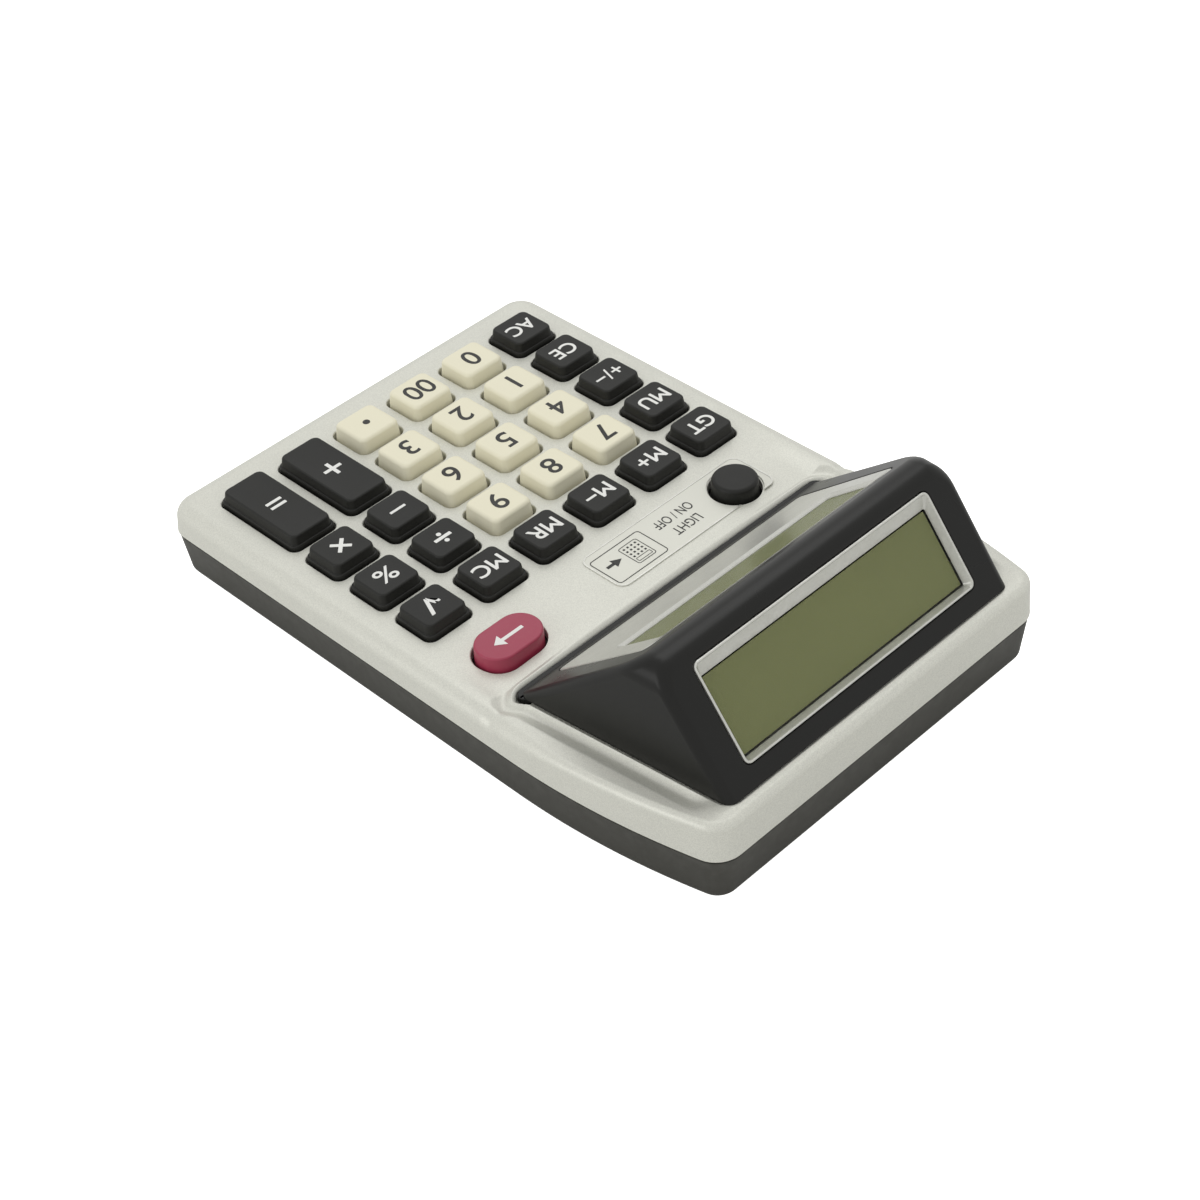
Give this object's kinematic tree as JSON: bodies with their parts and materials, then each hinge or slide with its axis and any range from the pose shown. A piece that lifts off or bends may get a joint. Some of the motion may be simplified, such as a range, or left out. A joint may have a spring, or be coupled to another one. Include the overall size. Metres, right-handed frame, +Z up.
{
  "type": "desk calculator",
  "caption": "Desk calculator: silver upper shell over a dark tray, sprung push keys and a raised wedge head with an LCD on the user's side and another on the customer's side.",
  "frame": {"origin": "centre of the bounding box in plan, on the plane the rubber feet stand on", "axes": "+X to the user's right, +Y from the front edge to the display head, +Z up"},
  "size_m": [0.1394, 0.2054, 0.0587],
  "materials": {
    "silver_plastic": "satin",
    "dark_plastic": "fine texture",
    "gloss_black": "gloss",
    "key_black": "satin",
    "key_cream": "satin",
    "key_red": "satin",
    "bezel_silver": "satin",
    "window_clear": "clear",
    "lcd_green": "gloss",
    "board_green": "lacquered",
    "membrane_grey": "matt",
    "rubber_black": "matt",
    "steel": "plated",
    "battery_sleeve": "printed sleeve",
    "lamp_violet": "clear tinted"
  },
  "bodies": {
    "case": {"top_case": "silver_plastic", "bottom_case": "dark_plastic", "head_housing": "gloss_black", "front_bezel": "bezel_silver", "rear_bezel": "bezel_silver", "front_window": "window_clear", "rear_window": "window_clear", "lamp_lens": "window_clear", "front_lcd": "lcd_green", "rear_lcd": "lcd_green", "keypad_membrane": "membrane_grey", "main_board": "board_green", "display_board": "board_green", "uv_lamp": "lamp_violet", "battery_1": "battery_sleeve", "battery_2": "battery_sleeve", "contact_plate_1": "steel", "contact_plate_2": "steel", "contact_spring_1": "steel", "contact_spring_2": "steel", "foot_front_left": "rubber_black", "foot_front_right": "rubber_black", "foot_rear_left": "rubber_black", "foot_rear_right": "rubber_black", "screw_front_left": "steel", "screw_front_right": "steel", "screw_rear_left": "steel", "screw_rear_right": "steel"},
    "battery_cover": {"battery_door": "dark_plastic"},
    "key_ac_cap": {"key_ac": "key_black"},
    "key_ce_cap": {"key_ce": "key_black"},
    "key_sign_cap": {"key_sign": "key_black"},
    "key_mu_cap": {"key_mu": "key_black"},
    "key_gt_cap": {"key_gt": "key_black"},
    "key_0_cap": {"key_0": "key_cream"},
    "key_1_cap": {"key_1": "key_cream"},
    "key_4_cap": {"key_4": "key_cream"},
    "key_7_cap": {"key_7": "key_cream"},
    "key_m_plus_cap": {"key_m_plus": "key_black"},
    "key_00_cap": {"key_00": "key_cream"},
    "key_2_cap": {"key_2": "key_cream"},
    "key_5_cap": {"key_5": "key_cream"},
    "key_8_cap": {"key_8": "key_cream"},
    "key_m_minus_cap": {"key_m_minus": "key_black"},
    "key_dot_cap": {"key_dot": "key_cream"},
    "key_3_cap": {"key_3": "key_cream"},
    "key_6_cap": {"key_6": "key_cream"},
    "key_9_cap": {"key_9": "key_cream"},
    "key_mr_cap": {"key_mr": "key_black"},
    "key_plus_cap": {"key_plus": "key_black"},
    "key_minus_cap": {"key_minus": "key_black"},
    "key_divide_cap": {"key_divide": "key_black"},
    "key_mc_cap": {"key_mc": "key_black"},
    "key_equals_cap": {"key_equals": "key_black"},
    "key_multiply_cap": {"key_multiply": "key_black"},
    "key_percent_cap": {"key_percent": "key_black"},
    "key_sqrt_cap": {"key_sqrt": "key_black"},
    "key_backspace_cap": {"key_backspace": "key_red"},
    "lamp_button_cap": {"lamp_button": "key_black"}
  },
  "joints": [
    {"name": "key_ac_press", "type": "slide", "parent": "case", "child": "key_ac_cap", "axis": [0, 0, -1], "range_m": [0, 0.002], "stiffness_N_per_m": 250, "springref_m": -0.001},
    {"name": "key_ce_press", "type": "slide", "parent": "case", "child": "key_ce_cap", "axis": [0, 0, -1], "range_m": [0, 0.002], "stiffness_N_per_m": 250, "springref_m": -0.001},
    {"name": "key_sign_press", "type": "slide", "parent": "case", "child": "key_sign_cap", "axis": [0, 0, -1], "range_m": [0, 0.002], "stiffness_N_per_m": 250, "springref_m": -0.001},
    {"name": "key_mu_press", "type": "slide", "parent": "case", "child": "key_mu_cap", "axis": [0, 0, -1], "range_m": [0, 0.002], "stiffness_N_per_m": 250, "springref_m": -0.001},
    {"name": "key_gt_press", "type": "slide", "parent": "case", "child": "key_gt_cap", "axis": [0, 0, -1], "range_m": [0, 0.002], "stiffness_N_per_m": 250, "springref_m": -0.001},
    {"name": "key_0_press", "type": "slide", "parent": "case", "child": "key_0_cap", "axis": [0, 0, -1], "range_m": [0, 0.002], "stiffness_N_per_m": 250, "springref_m": -0.001},
    {"name": "key_1_press", "type": "slide", "parent": "case", "child": "key_1_cap", "axis": [0, 0, -1], "range_m": [0, 0.002], "stiffness_N_per_m": 250, "springref_m": -0.001},
    {"name": "key_4_press", "type": "slide", "parent": "case", "child": "key_4_cap", "axis": [0, 0, -1], "range_m": [0, 0.002], "stiffness_N_per_m": 250, "springref_m": -0.001},
    {"name": "key_7_press", "type": "slide", "parent": "case", "child": "key_7_cap", "axis": [0, 0, -1], "range_m": [0, 0.002], "stiffness_N_per_m": 250, "springref_m": -0.001},
    {"name": "key_m_plus_press", "type": "slide", "parent": "case", "child": "key_m_plus_cap", "axis": [0, 0, -1], "range_m": [0, 0.002], "stiffness_N_per_m": 250, "springref_m": -0.001},
    {"name": "key_00_press", "type": "slide", "parent": "case", "child": "key_00_cap", "axis": [0, 0, -1], "range_m": [0, 0.002], "stiffness_N_per_m": 250, "springref_m": -0.001},
    {"name": "key_2_press", "type": "slide", "parent": "case", "child": "key_2_cap", "axis": [0, 0, -1], "range_m": [0, 0.002], "stiffness_N_per_m": 250, "springref_m": -0.001},
    {"name": "key_5_press", "type": "slide", "parent": "case", "child": "key_5_cap", "axis": [0, 0, -1], "range_m": [0, 0.002], "stiffness_N_per_m": 250, "springref_m": -0.001},
    {"name": "key_8_press", "type": "slide", "parent": "case", "child": "key_8_cap", "axis": [0, 0, -1], "range_m": [0, 0.002], "stiffness_N_per_m": 250, "springref_m": -0.001},
    {"name": "key_m_minus_press", "type": "slide", "parent": "case", "child": "key_m_minus_cap", "axis": [0, 0, -1], "range_m": [0, 0.002], "stiffness_N_per_m": 250, "springref_m": -0.001},
    {"name": "key_dot_press", "type": "slide", "parent": "case", "child": "key_dot_cap", "axis": [0, 0, -1], "range_m": [0, 0.002], "stiffness_N_per_m": 250, "springref_m": -0.001},
    {"name": "key_3_press", "type": "slide", "parent": "case", "child": "key_3_cap", "axis": [0, 0, -1], "range_m": [0, 0.002], "stiffness_N_per_m": 250, "springref_m": -0.001},
    {"name": "key_6_press", "type": "slide", "parent": "case", "child": "key_6_cap", "axis": [0, 0, -1], "range_m": [0, 0.002], "stiffness_N_per_m": 250, "springref_m": -0.001},
    {"name": "key_9_press", "type": "slide", "parent": "case", "child": "key_9_cap", "axis": [0, 0, -1], "range_m": [0, 0.002], "stiffness_N_per_m": 250, "springref_m": -0.001},
    {"name": "key_mr_press", "type": "slide", "parent": "case", "child": "key_mr_cap", "axis": [0, 0, -1], "range_m": [0, 0.002], "stiffness_N_per_m": 250, "springref_m": -0.001},
    {"name": "key_plus_press", "type": "slide", "parent": "case", "child": "key_plus_cap", "axis": [0, 0, -1], "range_m": [0, 0.002], "stiffness_N_per_m": 250, "springref_m": -0.001},
    {"name": "key_minus_press", "type": "slide", "parent": "case", "child": "key_minus_cap", "axis": [0, 0, -1], "range_m": [0, 0.002], "stiffness_N_per_m": 250, "springref_m": -0.001},
    {"name": "key_divide_press", "type": "slide", "parent": "case", "child": "key_divide_cap", "axis": [0, 0, -1], "range_m": [0, 0.002], "stiffness_N_per_m": 250, "springref_m": -0.001},
    {"name": "key_mc_press", "type": "slide", "parent": "case", "child": "key_mc_cap", "axis": [0, 0, -1], "range_m": [0, 0.002], "stiffness_N_per_m": 250, "springref_m": -0.001},
    {"name": "key_equals_press", "type": "slide", "parent": "case", "child": "key_equals_cap", "axis": [0, 0, -1], "range_m": [0, 0.002], "stiffness_N_per_m": 250, "springref_m": -0.001},
    {"name": "key_multiply_press", "type": "slide", "parent": "case", "child": "key_multiply_cap", "axis": [0, 0, -1], "range_m": [0, 0.002], "stiffness_N_per_m": 250, "springref_m": -0.001},
    {"name": "key_percent_press", "type": "slide", "parent": "case", "child": "key_percent_cap", "axis": [0, 0, -1], "range_m": [0, 0.002], "stiffness_N_per_m": 250, "springref_m": -0.001},
    {"name": "key_sqrt_press", "type": "slide", "parent": "case", "child": "key_sqrt_cap", "axis": [0, 0, -1], "range_m": [0, 0.002], "stiffness_N_per_m": 250, "springref_m": -0.001},
    {"name": "key_backspace_press", "type": "slide", "parent": "case", "child": "key_backspace_cap", "axis": [0, 0, -1], "range_m": [0, 0.002], "stiffness_N_per_m": 250, "springref_m": -0.001},
    {"name": "lamp_button_press", "type": "slide", "parent": "case", "child": "lamp_button_cap", "axis": [0, 0, -1], "range_m": [0, 0.002], "stiffness_N_per_m": 250, "springref_m": -0.001},
    {"name": "battery_door_slide", "type": "slide", "parent": "case", "child": "battery_cover", "axis": [0, 1, 0], "range_m": [0, 0.02]}
  ]
}
